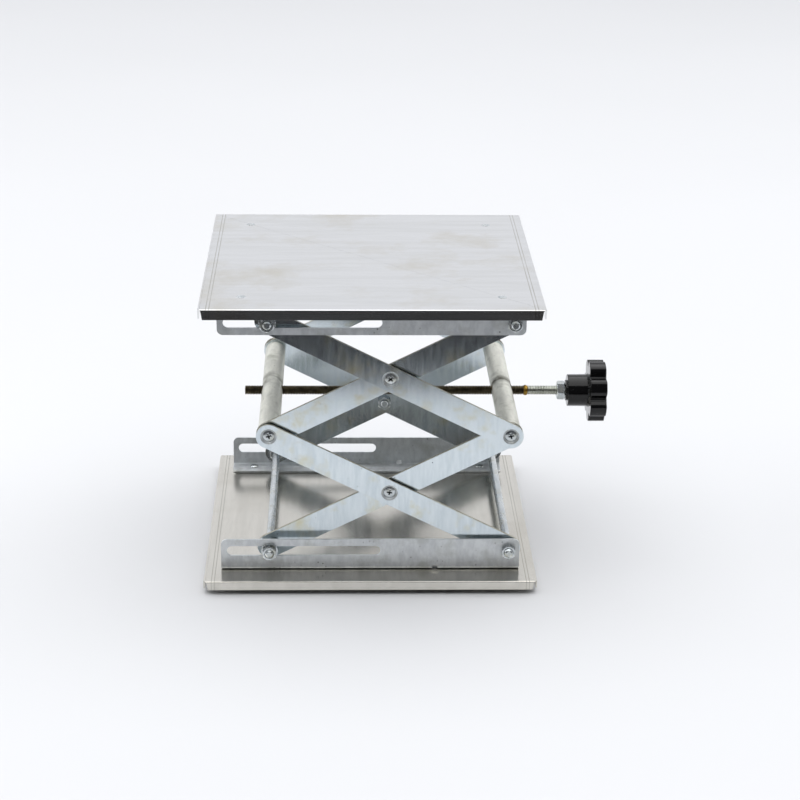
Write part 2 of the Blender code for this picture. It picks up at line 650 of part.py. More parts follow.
def main():
    clear_scene()
    parts = make_collection("lab_jack")
    cutters = make_collection("cutters")
    finishes = {name: make_material(name) for name in FINISHES}
    steel = finishes["brushed_steel"]
    zinc = finishes["zinc_plate"]
    rail_finish = finishes["galvanised_steel"]
    bright = finishes["bright_zinc"]

    build_plate("base_plate", BASE_HEIGHT, BASE_LIP_DEPTH, 1, parts, cutters, steel)
    platform = [build_plate("top_plate", TOP_FACE, TOP_LIP_DEPTH, -1, parts, cutters, steel)]
    for place, side in SIDES:
        name = "base_rail_" + place
        build_rail(name, side, BASE_HEIGHT, 1, parts, cutters, rail_finish)
        name = "top_rail_" + place
        rail = build_rail(name, side, TOP_UNDERSIDE, -1, parts, cutters, rail_finish)
        platform.append(rail)
        for hand, x in (("left", -RIVET_X), ("right", RIVET_X)):
            y = side * RIVET_Y
            build_foot(f"base_foot_{place}_{hand}", x, y, parts, finishes["black_rubber"])
            name = f"top_rivet_{place}_{hand}"
            platform.append(build_rivet(name, x, y, TOP_UNDERSIDE, -1, parts, bright))

    lower_outer, lower_inner, upper_outer, upper_inner = [], [], [], []
    dull = finishes["dull_bar"]
    left_bar = [build_cross_bar("left_nut_bar", SLIDE_X, 0.0, parts, cutters, dull)]
    right_bar = [build_cross_bar("right_nut_bar", FIXED_X, RECESS_DEPTH, parts, cutters, dull)]
    centre_length = ARM_SHEET * 2 + ARM_GAP + CENTRE_NUT_HEIGHT + 2 * GAP
    bar_length = OUTER_ARM_Y + ARM_SHEET / 2 - BAR_HALF_LENGTH + SCREW_GRIP_IN_BAR
    for place, side in SIDES:
        outer_y, inner_y = side * OUTER_ARM_Y, side * INNER_ARM_Y
        # The lower outer arm hangs on the fixed pin, the rest on the pin that carries them.
        arm = dimpled_arm(
            "lower_outer_arm_" + place, -ARM_PITCH, side, (True, True, False), parts, cutters, zinc
        )
        lower_outer.append(moved(arm, (FIXED_X, outer_y, LOW_Z), TILT))
        arm = dimpled_arm(
            "upper_outer_arm_" + place, -ARM_PITCH / 2, side, (False, True, True), parts, cutters, zinc
        )
        upper_outer.append(moved(arm, (CENTRE_X, outer_y, MID_Z + RISE / 2), TILT))
        axle, screw = AXLE_HOLE_RADIUS, SCREW_HOLE_RADIUS
        arm = flat_arm(
            "lower_inner_arm_" + place, -ARM_PITCH / 2, (axle, screw, screw), parts, zinc
        )
        lower_inner.append(moved(arm, (CENTRE_X, inner_y, LOW_Z + RISE / 2), -TILT))
        arm = flat_arm("upper_inner_arm_" + place, 0.0, (screw, screw, axle), parts, zinc)
        upper_inner.append(moved(arm, (SLIDE_X, inner_y, MID_Z), -TILT))

        head_y = side * (OUTER_ARM_Y + ARM_SHEET / 2 - GAP)
        nut_y = side * (INNER_ARM_BACK - GAP - CENTRE_NUT_HEIGHT / 2)
        for level, height, group in (("lower", LOW_Z, lower_outer), ("upper", MID_Z, upper_inner)):
            z = height + RISE / 2
            pin = countersunk_screw(f"{level}_centre_screw_{place}", centre_length, parts, bright)
            pin.matrix_world = Matrix.Translation((CENTRE_X, head_y, z)) @ outward(0.0, side)
            nut_name = f"{level}_centre_nut_{place}"
            bore = SCREW_RADIUS + GAP
            nut = hex_nut(nut_name, CENTRE_NUT_FLATS, bore, CENTRE_NUT_HEIGHT, parts, bright)
            group += [pin, moved(nut, (CENTRE_X, nut_y, z))]
        for hand, x, group in (
            ("left", SLIDE_X, left_bar),
            ("right", FIXED_X, right_bar),
        ):
            pin = countersunk_screw(f"{hand}_bar_screw_{place}", bar_length, parts, bright)
            pin.matrix_world = Matrix.Translation((x, head_y, MID_Z)) @ outward(0.0, side)
            group.append(pin)

    build_axle("lower_pivot", FIXED_X, LOW_Z, False, False, parts, finishes)
    lower_slide = build_axle("lower_slide", SLIDE_X, LOW_Z, True, True, parts, finishes)
    platform += build_axle("upper_pivot", FIXED_X, HIGH_Z, False, True, parts, finishes)
    upper_slide = build_axle("upper_slide", SLIDE_X, HIGH_Z, True, False, parts, finishes)
    bead, spinning = build_screw_train(parts, cutters, finishes)

    carry(joint_axis("lift_axis", (FIXED_X, 0.0, LOW_Z), parts), lower_outer)
    carry(joint_axis("lower_cross_axis", (CENTRE_X, 0.0, LOW_Z + RISE / 2), parts), lower_inner)
    carry(joint_axis("upper_fold_axis", (SLIDE_X, 0.0, MID_Z), parts), upper_inner)
    carry(joint_axis("upper_cross_axis", (CENTRE_X, 0.0, MID_Z + RISE / 2), parts), upper_outer)
    carry(joint_axis("platform_axis", (FIXED_X, 0.0, HIGH_Z), parts), platform)
    carry(joint_axis("left_bar_axis", (SLIDE_X, 0.0, MID_Z), parts), left_bar)
    carry(joint_axis("right_bar_axis", (FIXED_X, 0.0, MID_Z), parts), right_bar)
    carry(joint_axis("lower_slide_axis", (SLIDE_X, 0.0, LOW_Z), parts), lower_slide)
    carry(joint_axis("upper_slide_axis", (SLIDE_X, 0.0, HIGH_Z), parts), upper_slide)
    carry(joint_axis("screw_travel_axis", (BEAD_START, 0.0, MID_Z), parts), [bead])
    carry(joint_axis("screw_turn_axis", (BEAD_START, 0.0, MID_Z), parts), spinning)


main()
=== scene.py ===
# %% [markdown]
# # A scissor lab jack
#
# A lab jack lifts a flask or a hot plate. Two folded steel plates are held apart by crossed arms,
# and a long screw with a star knob pulls the arms' middle bars together.
#
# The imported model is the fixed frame: it says where each piece is and how it moves. This lesson
# gives each piece its real shape and finish around it.

import json
import math

import bmesh
import bpy
from mathutils import Matrix, Vector


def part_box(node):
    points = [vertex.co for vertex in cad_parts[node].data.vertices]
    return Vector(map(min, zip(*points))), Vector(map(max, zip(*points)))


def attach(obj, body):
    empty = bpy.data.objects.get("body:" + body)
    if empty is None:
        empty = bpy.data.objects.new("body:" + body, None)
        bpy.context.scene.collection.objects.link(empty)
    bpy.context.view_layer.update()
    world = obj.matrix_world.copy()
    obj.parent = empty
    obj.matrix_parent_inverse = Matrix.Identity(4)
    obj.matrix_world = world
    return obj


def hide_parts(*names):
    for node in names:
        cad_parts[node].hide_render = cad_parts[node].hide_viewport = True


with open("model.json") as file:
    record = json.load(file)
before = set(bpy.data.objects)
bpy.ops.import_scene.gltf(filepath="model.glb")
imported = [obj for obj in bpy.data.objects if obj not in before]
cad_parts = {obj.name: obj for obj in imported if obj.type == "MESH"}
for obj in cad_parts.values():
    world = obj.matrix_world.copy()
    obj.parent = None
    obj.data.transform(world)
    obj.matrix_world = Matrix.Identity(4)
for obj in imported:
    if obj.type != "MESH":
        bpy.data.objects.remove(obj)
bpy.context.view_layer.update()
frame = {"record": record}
RECORD = frame["record"]
BODY = {node: body for body, nodes in RECORD["behaviour"]["bodies"].items() for node in nodes}
MM = 0.001
SIDES = (("front", -1), ("back", 1))

# %% [markdown]
# ## Places
#
# Every pin of the jack is a CAD node, so the middle of its box is a point of the frame. Measuring
# the pins once keeps every new piece on the same axes as the motion.

# %% Measure the pins and the plates
def middle(node):
    low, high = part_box(node)
    return (low + high) / 2


FIXED = middle("lower_pivot_axle").x
SLIDE = middle("lower_slide_axle").x
LOW = middle("lower_pivot_axle").z
MID = middle("left_nut_bar").z
HIGH = middle("upper_pivot_axle").z
CENTRE = (FIXED + SLIDE) / 2
RISE = MID - LOW
PITCH = math.hypot(FIXED - SLIDE, RISE)
TILT = math.atan2(RISE, FIXED - SLIDE)
ARM_STEP = 3.2 * MM
INNER_ARM_Y = -middle("lower_inner_arm_front").y
OUTER_ARM_Y = INNER_ARM_Y + ARM_STEP
LEVELS = (("lower", LOW), ("upper", HIGH))
print(f"pins at x {SLIDE:.4f} and {FIXED:.4f}")
print(f"arms {PITCH:.4f} long, tilted {math.degrees(TILT):.1f} degrees")

# %% [markdown]
# ## Working by hand, in code
#
# An operator acts on what is selected, so each step first selects one piece, or some of its
# faces, edges or points by where they are. These few helpers do that, and nothing else.

# %% Selecting and shaping helpers
NEAR = 0.01 * MM


def only(piece):
    """Select one piece and make it active."""
    bpy.ops.object.select_all(action="DESELECT")
    piece.select_set(True)
    bpy.context.view_layer.objects.active = piece


def named(name):
    """Name the primitive that was just added, and put its place into its mesh."""
    piece = bpy.context.object
    piece.name = piece.data.name = name
    only(piece)
    bpy.ops.object.transform_apply(location=True, rotation=True, scale=True)
    return piece


def pick(piece, test, kind="FACE"):
    """In edit mode, select the faces, edges or points whose middle and normal pass a test."""
    only(piece)
    bpy.ops.object.mode_set(mode="EDIT")
    bpy.ops.mesh.select_mode(type=kind)
    bpy.ops.mesh.select_all(action="DESELECT")
    shape = bmesh.from_edit_mesh(piece.data)
    groups = {"FACE": shape.faces, "EDGE": shape.edges, "VERT": shape.verts}
    for item in groups[kind]:
        if kind == "FACE":
            chosen = test(item.calc_center_median(), item.normal)
        elif kind == "EDGE":
            first, second = item.verts
            chosen = test((first.co + second.co) / 2, (second.co - first.co).normalized())
        else:
            chosen = test(item.co, item.normal)
        item.select_set(chosen)
    shape.select_flush_mode()
    bmesh.update_edit_mesh(piece.data)


def done():
    bpy.ops.object.mode_set(mode="OBJECT")


def select_points(piece):
    """Select all of a piece's points, to move or turn the whole mesh."""
    pick(piece, lambda place, normal: True, "VERT")


def modify(piece, kind, **settings):
    """Add one modifier and apply it."""
    only(piece)
    bpy.ops.object.modifier_add(type=kind)
    modifier = piece.modifiers[-1]
    for setting, value in settings.items():
        setattr(modifier, setting, value)
    bpy.ops.object.modifier_apply(modifier=modifier.name)
    return piece


def carve(piece, tool, operation="DIFFERENCE"):
    modify(piece, "BOOLEAN", object=tool, operation=operation, solver="EXACT")
    bpy.data.objects.remove(tool, do_unlink=True)
    return piece


def round_edges(piece, width, segments=2, angle=40):
    """Break the sharp edges, as tumbling and plating do, so that they catch the light."""
    limit = math.radians(angle)
    return modify(
        piece, "BEVEL", width=width, segments=segments, limit_method="ANGLE", angle_limit=limit
    )


def clean(piece):
    """Merge doubles and point all faces outwards."""
    select_points(piece)
    bpy.ops.mesh.remove_doubles(threshold=0.002 * MM)
    bpy.ops.mesh.select_all(action="SELECT")
    bpy.ops.mesh.normals_make_consistent(inside=False)
    done()
    return piece


def smooth(piece, angle=35):
    """Smooth shading between nearly level faces, with the big flat faces kept truly flat."""
    only(piece)
    bpy.ops.object.shade_smooth_by_angle(angle=math.radians(angle))
    return modify(piece, "WEIGHTED_NORMAL", keep_sharp=True, weight=100)


def drum(name, radius, depth, place=(0, 0, 0), along="Z", sides=64):
    """A plain cylinder along an axis, as a start or as a cutter."""
    turns = {"X": (0, math.pi / 2, 0), "Y": (math.pi / 2, 0, 0), "Z": (0, 0, 0)}
    bpy.ops.mesh.primitive_cylinder_add(
        vertices=sides, radius=radius, depth=depth, location=place, rotation=turns[along]
    )
    return named(name)


def flat(name, size, place, turn=(0, 0, 0)):
    """A plane of two sizes, turned about its middle."""
    bpy.ops.mesh.primitive_plane_add(size=1, location=place, rotation=turn)
    bpy.context.object.scale = (*size, 1)
    return named(name)


def block(name, size, place):
    bpy.ops.mesh.primitive_cube_add(size=1, location=place, scale=size)
    return named(name)


def stacked(name, rings, sides=48):
    """A turned piece up the Z axis: a disc is extruded from ring to ring (radius, height)."""
    (radius, height), *others = rings
    bpy.ops.mesh.primitive_circle_add(
        vertices=sides, radius=radius, fill_type="NGON", location=(0, 0, height)
    )
    piece = named(name)
    bpy.ops.object.mode_set(mode="EDIT")
    bpy.ops.mesh.select_mode(type="FACE")
    bpy.ops.mesh.select_all(action="SELECT")
    for next_radius, next_height in others:
        step = (0, 0, next_height - height)
        bpy.ops.mesh.extrude_region_move(TRANSFORM_OT_translate={"value": step})
        ratio = next_radius / radius
        bpy.ops.transform.resize(value=(ratio, ratio, 1), center_override=(0, 0, next_height))
        radius, height = next_radius, next_height
    done()
    return clean(piece)


def copied(master, name, place, turn=(0, 0, 0)):
    """A copy with its own mesh, turned and then moved."""
    only(master)
    bpy.ops.object.duplicate()
    piece = bpy.context.object
    piece.rotation_euler = turn
    piece.location = place
    return named(name)


def drop(*pieces):
    for piece in pieces:
        bpy.data.objects.remove(piece, do_unlink=True)


def fit(piece, node, finish):
    """Give a piece its finish, and let it stand for a CAD node and move with its body."""
    if not piece.data.materials:
        piece.data.materials.append(finish)
    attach(piece, BODY[node])
    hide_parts(node)
    return piece


print("helpers ready")

# %% [markdown]
# ## Shader maths as expressions
#
# A Math node for each plus and times would bury the idea of a finish. This class wraps a socket,
# so that `0.3 + 0.2 * noise` adds the two Math nodes by itself, and a finish reads like a recipe.
# Materials and the world are both node trees, so one class adds nodes to either.

# %% The expression class and the node class
class Value:
    """An output socket that can be added to, subtracted and multiplied."""

    def __init__(self, nodes, socket):
        self.nodes = nodes
        self.socket = socket

    def maths(self, operation, first, second):
        return self.nodes.node("ShaderNodeMath", {"operation": operation}, {0: first, 1: second})

    def __add__(self, other):
        return self.maths("ADD", self, other)

    def __sub__(self, other):
        return self.maths("SUBTRACT", self, other)

    def __rsub__(self, other):
        return self.maths("SUBTRACT", other, self)

    def __mul__(self, other):
        return self.maths("MULTIPLY", self, other)

    __radd__ = __add__
    __rmul__ = __mul__


class Nodes:
    """A node tree that feeds one shader, and the one method that adds nodes to it."""

    def __init__(self, tree, shader):
        self.tree = tree
        self.shader = tree.nodes[shader]

    def node(self, kind, settings, sockets, out=0):
        made = self.tree.nodes.new(kind)
        for setting, value in settings.items():
            if setting == "stops":
                self.set_stops(made.color_ramp, value)
            else:
                setattr(made, setting, value)
        for socket, value in sockets.items():
            self.feed(made.inputs[socket], value)
        return Value(self, made.outputs[out])

    def set_stops(self, ramp, stops):
        while len(ramp.elements) < len(stops):
            ramp.elements.new(1.0)
        for element, (place, shade) in zip(ramp.elements, stops):
            element.position = place
            element.color = (shade, shade, shade, 1.0)

    def feed(self, socket, value):
        if isinstance(value, Value):
            self.tree.links.new(value.socket, socket)
        else:
            socket.default_value = value

    def along(self, axis):
        """A point's own place on one axis of the object."""
        where = self.node("ShaderNodeTexCoord", {}, {}, "Object")
        return self.node("ShaderNodeSeparateXYZ", {}, {0: where}, axis)

    def place(self, scale=(1, 1, 1), turn=(0, 0, 0)):
        """Object coordinates, turned to a piece's own direction and then stretched."""
        where = self.node("ShaderNodeTexCoord", {}, {}, "Object")
        turned = self.node("ShaderNodeMapping", {}, {"Vector": where, "Rotation": turn})
        return self.node("ShaderNodeMapping", {}, {"Vector": turned, "Scale": scale})

    def noise(self, where, scale, detail=3.0, rough=0.5):
        sockets = {"Vector": where, "Scale": scale, "Detail": detail, "Roughness": rough}
        return self.node("ShaderNodeTexNoise", {}, sockets)

    def cells(self, where, scale):
        sockets = {"Vector": where, "Scale": scale}
        return self.node("ShaderNodeTexVoronoi", {}, sockets, "Distance")

    def mask(self, value, low, high):
        """0 below one level and 1 above another; the levels may be swapped."""
        shades = (0.0, 1.0) if low < high else (1.0, 0.0)
        stops = list(zip(sorted((low, high)), shades))
        return self.node("ShaderNodeValToRGB", {"stops": stops}, {0: value})

    def blend(self, first, second, mask):
        sockets = {0: mask, 6: first, 7: second}
        return self.node("ShaderNodeMix", {"data_type": "RGBA"}, sockets, 2)

    def bump(self, height, strength, distance):
        sockets = {"Height": height, "Strength": strength, "Distance": distance}
        return self.node("ShaderNodeBump", {}, sockets)

    def paint(self, **sockets):
        for socket, value in sockets.items():
            self.feed(self.shader.inputs[socket.replace("_", " ")], value)


class Finish(Nodes):
    """A material: its constants are set first, and paint() feeds what varies."""

    def __init__(self, name, **constants):
        self.material = bpy.data.materials.new(name)
        self.material.use_nodes = True
        super().__init__(self.material.node_tree, "Principled BSDF")
        self.paint(**constants)


def rgb(red, green, blue):
    """A colour given as it looks on a screen, from 0 to 255, in the linear values of a shader."""
    return (*((level / 255) ** 2.2 for level in (red, green, blue)), 1.0)


print("shader helpers ready")

# %% [markdown]
# ## Camera
#
# The jack stands on a white table in a studio. The camera looks down on it a little from in
# front, through a long lens, which keeps the plates' edges almost parallel.

# %% Camera
EYE = (-0.02011, -1.24749, 0.56054)
YAW, PITCH_DOWN, ROLL = -0.0315, 0.3483, -0.0115
LENS, SENSOR, SHIFT = 95.36, 36, -0.0386
eye_turn = (
    Matrix.Rotation(YAW, 4, "Z")
    @ Matrix.Rotation(math.pi / 2 - PITCH_DOWN, 4, "X")
    @ Matrix.Rotation(-ROLL, 4, "Z")
)
bpy.ops.object.camera_add(location=EYE, rotation=eye_turn.to_euler())
camera = bpy.context.object
camera.data.lens = LENS
camera.data.sensor_width = SENSOR
camera.data.shift_y = SHIFT
camera.data.clip_end = 50
bpy.context.scene.camera = camera
bpy.context.scene.view_settings.view_transform = "Standard"
print("camera is", round(camera.location.length, 2), "m away")

# %% [markdown]
# ## Table and dark room
#
# Bright metal shows what stands around it: pale walls behind and beside, a dark room in front of
# the table's edge. The dark room is one dark panel, which mirrors see and the camera does not.

# %% Table and dark panel
TABLE_EDGE = -0.40
PANEL = (6, 4)


def two_tone(name, low, high, scale, detail, roughness):
    """A matt paint that drifts between two near tones."""
    finish = Finish(name, Roughness=roughness)
    tone = finish.noise(finish.place(), scale, detail)
    finish.paint(Base_Color=finish.blend(rgb(*low), rgb(*high), tone))
    return finish.material


bpy.ops.mesh.primitive_plane_add(size=14, location=(0, 2, 0))
floor = named("studio_floor")
floor.data.materials.append(
    two_tone("table_white", (210, 211, 213), (216, 217, 219), 1.5, 2.0, 0.75)
)
panel = flat("room_ahead", PANEL, (0, TABLE_EDGE - PANEL[1] / 2, 2 * MM))
panel.data.materials.append(two_tone("room_dark", (20, 20, 22), (36, 35, 36), 2.0, 3.0, 1.0))
panel.visible_camera = False
panel.visible_diffuse = False
panel.visible_shadow = False
print("table and dark room ready")

# %% [markdown]
# ## Light
#
# A studio lights metal with big soft boxes, because a small lamp would show as a hard white dot.
# One hangs overhead, one stands on each side, and the far wall of the world is pale.

# %% Lamps and far wall
def soft_box(name, place, aim, size, power):
    bpy.ops.object.light_add(type="AREA", location=place)
    lamp = bpy.context.object
    lamp.name = name
    lamp.rotation_euler = (Vector(aim) - Vector(place)).to_track_quat("-Z", "Y").to_euler()
    lamp.data.shape = "RECTANGLE"
    lamp.data.size, lamp.data.size_y = size
    lamp.data.energy = power


soft_box("overhead", (0.2, 0.1, 3.2), (0.2, 0.1, 0), (5.2, 5.2), 134)
soft_box("left_box", (-2.2, 0.2, 1.4), (0, 0, 0.1), (1.6, 1.6), 18)
soft_box("right_box", (2.2, 0.5, 1.2), (0, 0, 0.1), (1.4, 1.4), 12)

world = bpy.data.worlds.new("studio")
bpy.context.scene.world = world
world.use_nodes = True
sky = Nodes(world.node_tree, "Background")
ahead = sky.node("ShaderNodeTexCoord", {}, {}, "Generated")
depth = 0.5 + 0.5 * sky.node("ShaderNodeSeparateXYZ", {}, {0: ahead}, "Y")
NEAR_WALL, FAR_WALL = (0.12, 0.12, 0.13, 1), (0.86, 0.87, 0.9, 1)
sky.paint(Color=sky.blend(NEAR_WALL, FAR_WALL, sky.mask(depth, 0.30, 0.62)), Strength=0.96)
print("lamps and far wall ready")

# %% [markdown]
# ## Metal finishes
#
# All the metal here is thin plating or bare sheet, and each kind differs in colour, in how sharply
# it mirrors, and in its marks: rolling lines, cloudy stains and small dark pits. One recipe with
# different values gives them all, because a real plating shop also works from one recipe.

# %% The metal recipe
SCORED = (172, 170, 160)
SCORE_LINES = (93.4 * MM, 95.2 * MM)


def scored_lines(finish, *places):
    """Two faint lines along Y that the folding tool leaves beside each side edge."""
    reach = finish.node("ShaderNodeMath", {"operation": "ABSOLUTE"}, {0: finish.along("X")})
    lines = 0.0
    for place in places:
        sockets = {0: reach, 1: place, 2: 0.28 * MM}
        lines = lines + finish.node("ShaderNodeMath", {"operation": "COMPARE"}, sockets)
    patchy = finish.noise(finish.place((60, 60, 60)), 1.0, 3.0)
    return lines * (0.15 + 0.9 * patchy)


def greasy_middle(finish):
    """Dark, greasy smears that the lead screw spreads round the middle of each bar."""
    off_middle = finish.along("Y") - 5 * MM
    reach = finish.node("ShaderNodeMath", {"operation": "ABSOLUTE"}, {0: off_middle})
    near = finish.mask(reach * 40, 0.56, 0.1)
    return near * finish.mask(finish.noise(finish.place(), 110, 4.0), 0.38, 0.66)


def metal(
    name,
    light,
    dark,
    stain,
    rough,
    streak=(300, 300, 300),
    cloud=35,
    stains=(0.5, 0.75),
    pit_size=2.2 * MM,
    pit_reach=0.16,
    pit_shade=(70, 70, 66),
    grain=0.15,
    metallic=1.0,
    score=None,
    smudge=None,
):
    """Sheet or plate: fine lines along one way, cloudy stains, and pits of one size."""
    finish = Finish(name, Metallic=metallic)
    lines = finish.noise(finish.place(streak), 1.0, 4.0, 0.6)
    clouds = finish.noise(finish.place(), cloud, 5.0, 0.62)
    pits = finish.mask(finish.cells(finish.place(), 1 / pit_size), pit_reach, pit_reach * 0.4)
    rare = finish.mask(finish.noise(finish.place(), cloud * 2.3, 3.0), 0.56, 0.66)
    colour = finish.blend(rgb(*dark), rgb(*light), finish.mask(lines, 0.36, 0.62))
    colour = finish.blend(colour, rgb(*stain), finish.mask(clouds, *stains))
    colour = finish.blend(colour, rgb(*pit_shade), pits * rare * 0.8)
    if score:
        colour = finish.blend(colour, rgb(*SCORED), scored_lines(finish, *score))
    if smudge:
        colour = finish.blend(colour, rgb(*smudge), greasy_middle(finish))
    low, high = rough
    roughness = low + (high - low) * clouds + 0.12 * (lines - 0.5) + 0.2 * pits * rare
    height = lines * 0.5 + clouds * 0.3 - pits * rare
    finish.paint(
        Base_Color=colour,
        Roughness=roughness,
        Normal=finish.bump(height, grain, 0.08 * MM),
    )
    return finish.material


print("metal recipe ready")

# %% [markdown]
# ## Sheet, plating and bare steel
#
# The plates are satin sheet, the rails are dipped in zinc and so are dull and cloudy, and the arms
# and fasteners are plated and brighter. The screw is oiled black, and its joint is braze.

# %% Metals of the plates, rails and arms
TOP_STEEL = metal(
    "satin_steel",
    light=(233, 234, 235),
    dark=(226, 227, 227),
    stain=(216, 213, 204),
    rough=(0.09, 0.17),
    streak=(14, 160, 160),
    cloud=16,
    stains=(0.5, 0.68),
    pit_size=9 * MM,
    pit_reach=0.04,
    grain=0.012,
    score=SCORE_LINES,
)
BASE_STEEL = metal(
    "warm_steel",
    light=(224, 221, 213),
    dark=(214, 211, 203),
    stain=(204, 200, 190),
    rough=(0.14, 0.24),
    streak=(160, 14, 160),
    cloud=14,
    pit_size=9 * MM,
    pit_reach=0.04,
    grain=0.012,
    score=SCORE_LINES,
)
RAIL_ZINC = metal(
    "galvanised",
    light=(224, 228, 230),
    dark=(206, 210, 213),
    stain=(186, 189, 186),
    rough=(0.34, 0.5),
    metallic=0.7,
    streak=(260, 260, 120),
    cloud=60,
    pit_size=3 * MM,
    pit_reach=0.2,
    grain=0.05,
)
ARM_ZINC = metal(
    "zinc_plate",
    light=(216, 225, 229),
    dark=(200, 210, 216),
    stain=(206, 203, 180),
    rough=(0.11, 0.2),
    streak=(420, 420, 60),
    cloud=70,
    stains=(0.54, 0.74),
    pit_size=3.2 * MM,
    pit_reach=0.15,
    grain=0.06,
)
print("sheet finishes:", len(bpy.data.materials))

# %% Metals of the fasteners, bars and screw
BRIGHT_ZINC = metal(
    "bright_zinc",
    light=(214, 219, 221),
    dark=(190, 197, 200),
    stain=(186, 186, 172),
    rough=(0.18, 0.34),
    streak=(240, 60, 240),
    cloud=160,
    pit_size=1.2 * MM,
    pit_reach=0.08,
    grain=0.05,
)
BAR_STEEL = metal(
    "dull_bar",
    light=(232, 232, 222),
    dark=(212, 212, 203),
    stain=(168, 170, 156),
    rough=(0.4, 0.56),
    metallic=0.85,
    smudge=(96, 94, 82),
    streak=(260, 50, 260),
    cloud=70,
    stains=(0.54, 0.78),
    pit_size=2.4 * MM,
    pit_reach=0.2,
    grain=0.25,
)
THREAD_STEEL = metal(
    "oiled_thread",
    light=(128, 120, 100),
    dark=(76, 70, 58),
    stain=(100, 88, 60),
    rough=(0.32, 0.5),
    streak=(120, 300, 300),
    cloud=160,
    pit_size=1.4 * MM,
    grain=0.2,
)
STUD_STEEL = metal(
    "stud_steel",
    light=(200, 202, 194),
    dark=(178, 181, 172),
    stain=(160, 160, 140),
    rough=(0.24, 0.36),
    streak=(300, 300, 300),
    cloud=200,
    pit_size=1.2 * MM,
    pit_reach=0.08,
    grain=0.05,
)
BRASS = metal(
    "braze",
    light=(176, 142, 70),
    dark=(134, 104, 42),
    stain=(98, 82, 40),
    rough=(0.28, 0.5),
    streak=(500, 500, 500),
    cloud=400,
    pit_size=0.9 * MM,
    grain=0.3,
)
CUT_EDGE = metal(
    "cut_edge",
    light=(176, 174, 158),
    dark=(128, 124, 108),
    stain=(112, 104, 80),
    rough=(0.4, 0.6),
    streak=(500, 900, 500),
    cloud=180,
    pit_size=1.2 * MM,
    grain=0.1,
    metallic=0.55,
)
PRESSED = metal(
    "pressed_zinc",
    light=(214, 218, 220),
    dark=(190, 196, 198),
    stain=(178, 176, 164),
    rough=(0.42, 0.58),
    cloud=400,
    pit_size=1.2 * MM,
    metallic=0.8,
)
# Painted shade: a near-black finish for the faces down in each screw's cross, where shade falls.
CROSS_SHADE = metal(
    "painted_cross_shade",
    light=(52, 50, 47),
    dark=(30, 29, 27),
    stain=(40, 37, 30),
    rough=(0.5, 0.7),
    cloud=500,
    pit_size=0.8 * MM,
)
print("metal finishes:", len(bpy.data.materials))

# %% [markdown]
# ## Black plastic and black rubber
#
# The star knob is moulded resin with a hard gloss, a few hair scratches and dust in the notches.
# The pads are dull rubber. Both are plastics, not metals, so a coat gives the knob its shine.

# %% Knob resin and pad rubber
resin = Finish("black_resin", Metallic=0.0, IOR=1.36, Coat_IOR=1.4, Coat_Roughness=0.06)
scuffs = resin.noise(resin.place((60, 900, 60), (0.6, 0.3, 0.2)), 1.0, 3.0)
dust = resin.noise(resin.place(), 900, 2.0)
haze = resin.noise(resin.place(), 90, 4.0)
dust_spots = resin.mask(dust, 0.66, 0.74)
resin.paint(
    Base_Color=resin.blend(rgb(9, 9, 10), rgb(48, 48, 50), dust_spots * 0.5),
    Roughness=0.1 + 0.1 * haze + 0.3 * dust_spots,
    Coat_Weight=0.3 - 0.2 * resin.mask(scuffs, 0.6, 0.7),
    Normal=resin.bump(haze + 0.4 * scuffs, 0.08, 0.1 * MM),
)
rubber = Finish("black_rubber", Metallic=0.0, IOR=1.5)
crumbs = rubber.noise(rubber.place(), 1600, 4.0)
bloom = rubber.noise(rubber.place(), 160, 3.0)
rubber.paint(
    Base_Color=rubber.blend(rgb(24, 24, 25), rgb(52, 51, 49), rubber.mask(bloom, 0.4, 0.75)),
    Roughness=0.62 + 0.2 * crumbs,
    Normal=rubber.bump(crumbs, 0.3, 0.1 * MM),
)
RESIN, RUBBER = resin.material, rubber.material
print("resin and rubber ready")

# %% [markdown]
# ## Folded plates
#
# Each plate is one square of sheet with its four edges folded down. A press brake folds one edge
# at a time, and the corners stay open as narrow slits. The same steps work here: a plane, each
# edge extruded by itself, the folds rounded, and then the thickness given to the whole sheet.

# %% Base plate and top plate
SHEET = 1.0 * MM
FOLD = 0.7 * MM
CORNER_CUT = 1.7 * MM
RIM = 0.6 * MM


def fold_down(plate, axis, edge, top, lip):
    """Draw one edge of the sheet straight down, and narrow it so that the corner stays open."""
    pick(
        plate,
        lambda place, direction: abs(place[axis] - edge) < NEAR and place.z > top - NEAR,
        "EDGE",
    )
    bpy.ops.mesh.extrude_region_move(TRANSFORM_OT_translate={"value": (0, 0, -lip)})
    narrow = 1 - 0.6 * CORNER_CUT / abs(edge)
    bpy.ops.transform.resize(value=(narrow, narrow, 1))
    shape = bmesh.from_edit_mesh(plate.data)
    for point in shape.verts:
        if point.select:
            point.co[axis] = edge
    bmesh.update_edit_mesh(plate.data)
    done()


def folded_plate(node, finish):
    low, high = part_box(node)
    half, top = high.x, high.z
    bpy.ops.mesh.primitive_plane_add(size=2 * half, location=(0, 0, top))
    plate = named(node + "_sheet")
    select_points(plate)
    bpy.ops.mesh.bevel(offset=CORNER_CUT, affect="VERTICES")
    done()
    for axis in (0, 1):
        for side in (-1, 1):
            fold_down(plate, axis, side * half, top, top - low.z)
    pick(
        plate,
        lambda place, direction: place.z > top - NEAR
        and max(abs(place.x), abs(place.y)) > half - NEAR
        and min(abs(place.x), abs(place.y)) < 0.5 * half,
        "EDGE",
    )
    bpy.ops.mesh.bevel(offset=FOLD, segments=4, affect="EDGES")
    done()
    pick(plate, lambda place, normal: abs(normal.z) > 0.99 and abs(place.x) < 1 * MM)
    bpy.ops.mesh.inset(thickness=RIM)
    done()
    clean(plate)
    modify(plate, "SOLIDIFY", thickness=SHEET, offset=-1)
    round_edges(plate, 0.12 * MM, 2, 50)
    return fit(smooth(plate, 30), node, finish)


